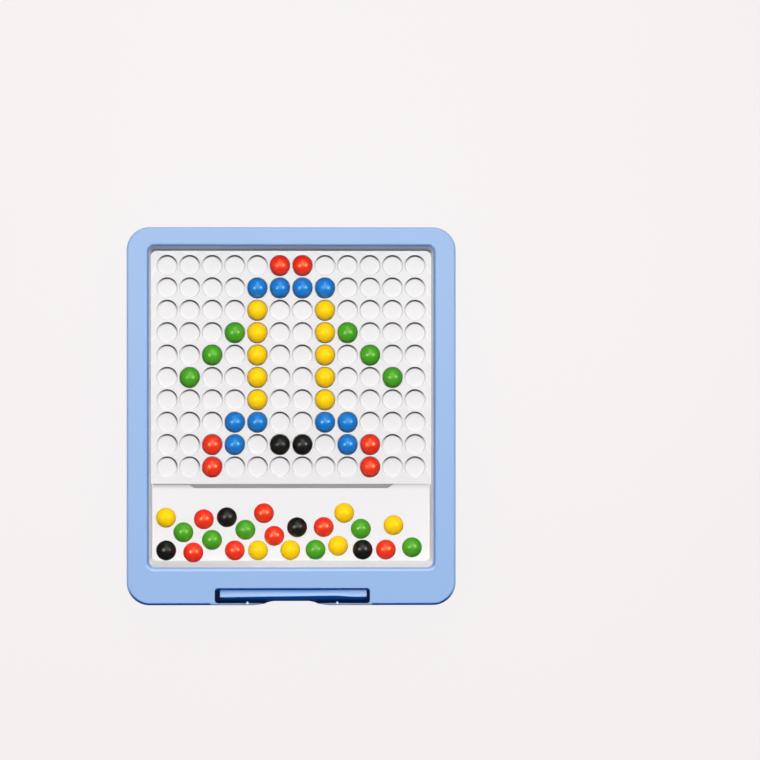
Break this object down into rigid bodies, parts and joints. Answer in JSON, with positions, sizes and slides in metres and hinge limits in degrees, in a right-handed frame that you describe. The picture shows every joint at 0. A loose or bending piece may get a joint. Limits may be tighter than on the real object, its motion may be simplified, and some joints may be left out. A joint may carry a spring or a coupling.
{
  "type": "magnetic drawing board",
  "caption": "Flat magnetic drawing board: coloured beads under a clear cover drop into a socketed plate, with a bead reservoir and a magnetic pen in a frame pocket.",
  "frame": {"origin": "middle of the flat back, which the board lies on", "axes": "+Z out of the board's face, +Y towards the top of the board, +X to the right"},
  "size_m": [0.212, 0.2436, 0.0262],
  "materials": {
    "blue_shell": "satin moulded plastic",
    "white_tray": "matt moulded plastic",
    "clear_sheet": "clear plastic sheet",
    "pen_blue": "glossy moulded plastic",
    "magnet_black": "plain magnet",
    "screw_steel": "plated steel",
    "bead_red": "glossy plastic",
    "bead_blue": "glossy plastic",
    "bead_yellow": "glossy plastic",
    "bead_green": "glossy plastic",
    "bead_black": "glossy plastic"
  },
  "bodies": {
    "root": {"back_cover": "blue_shell", "dot_board": "white_tray", "clear_cover": "clear_sheet", "front_frame": "blue_shell", "screw_1": "screw_steel", "screw_2": "screw_steel", "screw_3": "screw_steel", "screw_4": "screw_steel"},
    "pen": {"pen_barrel": "pen_blue", "pen_magnet": "magnet_black", "pen_plug": "pen_blue"},
    "bead_row01_col06": {"bead_row01_col06_red": "bead_red"},
    "bead_row01_col07": {"bead_row01_col07_red": "bead_red"},
    "bead_row02_col05": {"bead_row02_col05_blue": "bead_blue"},
    "bead_row02_col06": {"bead_row02_col06_blue": "bead_blue"},
    "bead_row02_col07": {"bead_row02_col07_blue": "bead_blue"},
    "bead_row02_col08": {"bead_row02_col08_blue": "bead_blue"},
    "bead_row03_col05": {"bead_row03_col05_yellow": "bead_yellow"},
    "bead_row03_col08": {"bead_row03_col08_yellow": "bead_yellow"},
    "bead_row04_col04": {"bead_row04_col04_green": "bead_green"},
    "bead_row04_col05": {"bead_row04_col05_yellow": "bead_yellow"},
    "bead_row04_col08": {"bead_row04_col08_yellow": "bead_yellow"},
    "bead_row04_col09": {"bead_row04_col09_green": "bead_green"},
    "bead_row05_col03": {"bead_row05_col03_green": "bead_green"},
    "bead_row05_col05": {"bead_row05_col05_yellow": "bead_yellow"},
    "bead_row05_col08": {"bead_row05_col08_yellow": "bead_yellow"},
    "bead_row05_col10": {"bead_row05_col10_green": "bead_green"},
    "bead_row06_col02": {"bead_row06_col02_green": "bead_green"},
    "bead_row06_col05": {"bead_row06_col05_yellow": "bead_yellow"},
    "bead_row06_col08": {"bead_row06_col08_yellow": "bead_yellow"},
    "bead_row06_col11": {"bead_row06_col11_green": "bead_green"},
    "bead_row07_col05": {"bead_row07_col05_yellow": "bead_yellow"},
    "bead_row07_col08": {"bead_row07_col08_yellow": "bead_yellow"},
    "bead_row08_col04": {"bead_row08_col04_blue": "bead_blue"},
    "bead_row08_col05": {"bead_row08_col05_blue": "bead_blue"},
    "bead_row08_col08": {"bead_row08_col08_blue": "bead_blue"},
    "bead_row08_col09": {"bead_row08_col09_blue": "bead_blue"},
    "bead_row09_col03": {"bead_row09_col03_red": "bead_red"},
    "bead_row09_col04": {"bead_row09_col04_blue": "bead_blue"},
    "bead_row09_col06": {"bead_row09_col06_black": "bead_black"},
    "bead_row09_col07": {"bead_row09_col07_black": "bead_black"},
    "bead_row09_col09": {"bead_row09_col09_blue": "bead_blue"},
    "bead_row09_col10": {"bead_row09_col10_red": "bead_red"},
    "bead_row10_col03": {"bead_row10_col03_red": "bead_red"},
    "bead_row10_col10": {"bead_row10_col10_red": "bead_red"},
    "loose_bead_01": {"loose_bead_01_yellow": "bead_yellow"},
    "loose_bead_02": {"loose_bead_02_green": "bead_green"},
    "loose_bead_03": {"loose_bead_03_green": "bead_green"},
    "loose_bead_04": {"loose_bead_04_red": "bead_red"},
    "loose_bead_05": {"loose_bead_05_black": "bead_black"},
    "loose_bead_06": {"loose_bead_06_black": "bead_black"},
    "loose_bead_07": {"loose_bead_07_green": "bead_green"},
    "loose_bead_08": {"loose_bead_08_yellow": "bead_yellow"},
    "loose_bead_09": {"loose_bead_09_red": "bead_red"},
    "loose_bead_10": {"loose_bead_10_black": "bead_black"},
    "loose_bead_11": {"loose_bead_11_red": "bead_red"},
    "loose_bead_12": {"loose_bead_12_yellow": "bead_yellow"},
    "loose_bead_13": {"loose_bead_13_green": "bead_green"},
    "loose_bead_14": {"loose_bead_14_yellow": "bead_yellow"},
    "loose_bead_15": {"loose_bead_15_green": "bead_green"}
  },
  "joints": [
    {"name": "pen_lift", "type": "slide", "parent": "root", "child": "pen", "axis": [0, 0, 1], "range_m": [0, 0.03]},
    {"name": "raise_bead_row01_col06", "type": "slide", "parent": "root", "child": "bead_row01_col06", "axis": [0, 0, 1], "range_m": [0, 0.0028]},
    {"name": "raise_bead_row01_col07", "type": "slide", "parent": "root", "child": "bead_row01_col07", "axis": [0, 0, 1], "range_m": [0, 0.0028]},
    {"name": "raise_bead_row02_col05", "type": "slide", "parent": "root", "child": "bead_row02_col05", "axis": [0, 0, 1], "range_m": [0, 0.0028]},
    {"name": "raise_bead_row02_col06", "type": "slide", "parent": "root", "child": "bead_row02_col06", "axis": [0, 0, 1], "range_m": [0, 0.0028]},
    {"name": "raise_bead_row02_col07", "type": "slide", "parent": "root", "child": "bead_row02_col07", "axis": [0, 0, 1], "range_m": [0, 0.0028]},
    {"name": "raise_bead_row02_col08", "type": "slide", "parent": "root", "child": "bead_row02_col08", "axis": [0, 0, 1], "range_m": [0, 0.0028]},
    {"name": "raise_bead_row03_col05", "type": "slide", "parent": "root", "child": "bead_row03_col05", "axis": [0, 0, 1], "range_m": [0, 0.0028]},
    {"name": "raise_bead_row03_col08", "type": "slide", "parent": "root", "child": "bead_row03_col08", "axis": [0, 0, 1], "range_m": [0, 0.0028]},
    {"name": "raise_bead_row04_col04", "type": "slide", "parent": "root", "child": "bead_row04_col04", "axis": [0, 0, 1], "range_m": [0, 0.0028]},
    {"name": "raise_bead_row04_col05", "type": "slide", "parent": "root", "child": "bead_row04_col05", "axis": [0, 0, 1], "range_m": [0, 0.0028]},
    {"name": "raise_bead_row04_col08", "type": "slide", "parent": "root", "child": "bead_row04_col08", "axis": [0, 0, 1], "range_m": [0, 0.0028]},
    {"name": "raise_bead_row04_col09", "type": "slide", "parent": "root", "child": "bead_row04_col09", "axis": [0, 0, 1], "range_m": [0, 0.0028]},
    {"name": "raise_bead_row05_col03", "type": "slide", "parent": "root", "child": "bead_row05_col03", "axis": [0, 0, 1], "range_m": [0, 0.0028]},
    {"name": "raise_bead_row05_col05", "type": "slide", "parent": "root", "child": "bead_row05_col05", "axis": [0, 0, 1], "range_m": [0, 0.0028]},
    {"name": "raise_bead_row05_col08", "type": "slide", "parent": "root", "child": "bead_row05_col08", "axis": [0, 0, 1], "range_m": [0, 0.0028]},
    {"name": "raise_bead_row05_col10", "type": "slide", "parent": "root", "child": "bead_row05_col10", "axis": [0, 0, 1], "range_m": [0, 0.0028]},
    {"name": "raise_bead_row06_col02", "type": "slide", "parent": "root", "child": "bead_row06_col02", "axis": [0, 0, 1], "range_m": [0, 0.0028]},
    {"name": "raise_bead_row06_col05", "type": "slide", "parent": "root", "child": "bead_row06_col05", "axis": [0, 0, 1], "range_m": [0, 0.0028]},
    {"name": "raise_bead_row06_col08", "type": "slide", "parent": "root", "child": "bead_row06_col08", "axis": [0, 0, 1], "range_m": [0, 0.0028]},
    {"name": "raise_bead_row06_col11", "type": "slide", "parent": "root", "child": "bead_row06_col11", "axis": [0, 0, 1], "range_m": [0, 0.0028]},
    {"name": "raise_bead_row07_col05", "type": "slide", "parent": "root", "child": "bead_row07_col05", "axis": [0, 0, 1], "range_m": [0, 0.0028]},
    {"name": "raise_bead_row07_col08", "type": "slide", "parent": "root", "child": "bead_row07_col08", "axis": [0, 0, 1], "range_m": [0, 0.0028]},
    {"name": "raise_bead_row08_col04", "type": "slide", "parent": "root", "child": "bead_row08_col04", "axis": [0, 0, 1], "range_m": [0, 0.0028]},
    {"name": "raise_bead_row08_col05", "type": "slide", "parent": "root", "child": "bead_row08_col05", "axis": [0, 0, 1], "range_m": [0, 0.0028]},
    {"name": "raise_bead_row08_col08", "type": "slide", "parent": "root", "child": "bead_row08_col08", "axis": [0, 0, 1], "range_m": [0, 0.0028]},
    {"name": "raise_bead_row08_col09", "type": "slide", "parent": "root", "child": "bead_row08_col09", "axis": [0, 0, 1], "range_m": [0, 0.0028]},
    {"name": "raise_bead_row09_col03", "type": "slide", "parent": "root", "child": "bead_row09_col03", "axis": [0, 0, 1], "range_m": [0, 0.0028]},
    {"name": "raise_bead_row09_col04", "type": "slide", "parent": "root", "child": "bead_row09_col04", "axis": [0, 0, 1], "range_m": [0, 0.0028]},
    {"name": "raise_bead_row09_col06", "type": "slide", "parent": "root", "child": "bead_row09_col06", "axis": [0, 0, 1], "range_m": [0, 0.0028]},
    {"name": "raise_bead_row09_col07", "type": "slide", "parent": "root", "child": "bead_row09_col07", "axis": [0, 0, 1], "range_m": [0, 0.0028]},
    {"name": "raise_bead_row09_col09", "type": "slide", "parent": "root", "child": "bead_row09_col09", "axis": [0, 0, 1], "range_m": [0, 0.0028]},
    {"name": "raise_bead_row09_col10", "type": "slide", "parent": "root", "child": "bead_row09_col10", "axis": [0, 0, 1], "range_m": [0, 0.0028]},
    {"name": "raise_bead_row10_col03", "type": "slide", "parent": "root", "child": "bead_row10_col03", "axis": [0, 0, 1], "range_m": [0, 0.0028]},
    {"name": "raise_bead_row10_col10", "type": "slide", "parent": "root", "child": "bead_row10_col10", "axis": [0, 0, 1], "range_m": [0, 0.0028]},
    {"name": "raise_loose_bead_01", "type": "slide", "parent": "root", "child": "loose_bead_01", "axis": [0, 0, 1], "range_m": [0, 0.0046]},
    {"name": "raise_loose_bead_02", "type": "slide", "parent": "root", "child": "loose_bead_02", "axis": [0, 0, 1], "range_m": [0, 0.0046]},
    {"name": "raise_loose_bead_03", "type": "slide", "parent": "root", "child": "loose_bead_03", "axis": [0, 0, 1], "range_m": [0, 0.0046]},
    {"name": "raise_loose_bead_04", "type": "slide", "parent": "root", "child": "loose_bead_04", "axis": [0, 0, 1], "range_m": [0, 0.0046]},
    {"name": "raise_loose_bead_05", "type": "slide", "parent": "root", "child": "loose_bead_05", "axis": [0, 0, 1], "range_m": [0, 0.0046]},
    {"name": "raise_loose_bead_06", "type": "slide", "parent": "root", "child": "loose_bead_06", "axis": [0, 0, 1], "range_m": [0, 0.0046]},
    {"name": "raise_loose_bead_07", "type": "slide", "parent": "root", "child": "loose_bead_07", "axis": [0, 0, 1], "range_m": [0, 0.0046]},
    {"name": "raise_loose_bead_08", "type": "slide", "parent": "root", "child": "loose_bead_08", "axis": [0, 0, 1], "range_m": [0, 0.0046]},
    {"name": "raise_loose_bead_09", "type": "slide", "parent": "root", "child": "loose_bead_09", "axis": [0, 0, 1], "range_m": [0, 0.0046]},
    {"name": "raise_loose_bead_10", "type": "slide", "parent": "root", "child": "loose_bead_10", "axis": [0, 0, 1], "range_m": [0, 0.0046]},
    {"name": "raise_loose_bead_11", "type": "slide", "parent": "root", "child": "loose_bead_11", "axis": [0, 0, 1], "range_m": [0, 0.0046]},
    {"name": "raise_loose_bead_12", "type": "slide", "parent": "root", "child": "loose_bead_12", "axis": [0, 0, 1], "range_m": [0, 0.0046]},
    {"name": "raise_loose_bead_13", "type": "slide", "parent": "root", "child": "loose_bead_13", "axis": [0, 0, 1], "range_m": [0, 0.0046]},
    {"name": "raise_loose_bead_14", "type": "slide", "parent": "root", "child": "loose_bead_14", "axis": [0, 0, 1], "range_m": [0, 0.0046]},
    {"name": "raise_loose_bead_15", "type": "slide", "parent": "root", "child": "loose_bead_15", "axis": [0, 0, 1], "range_m": [0, 0.0046]}
  ]
}
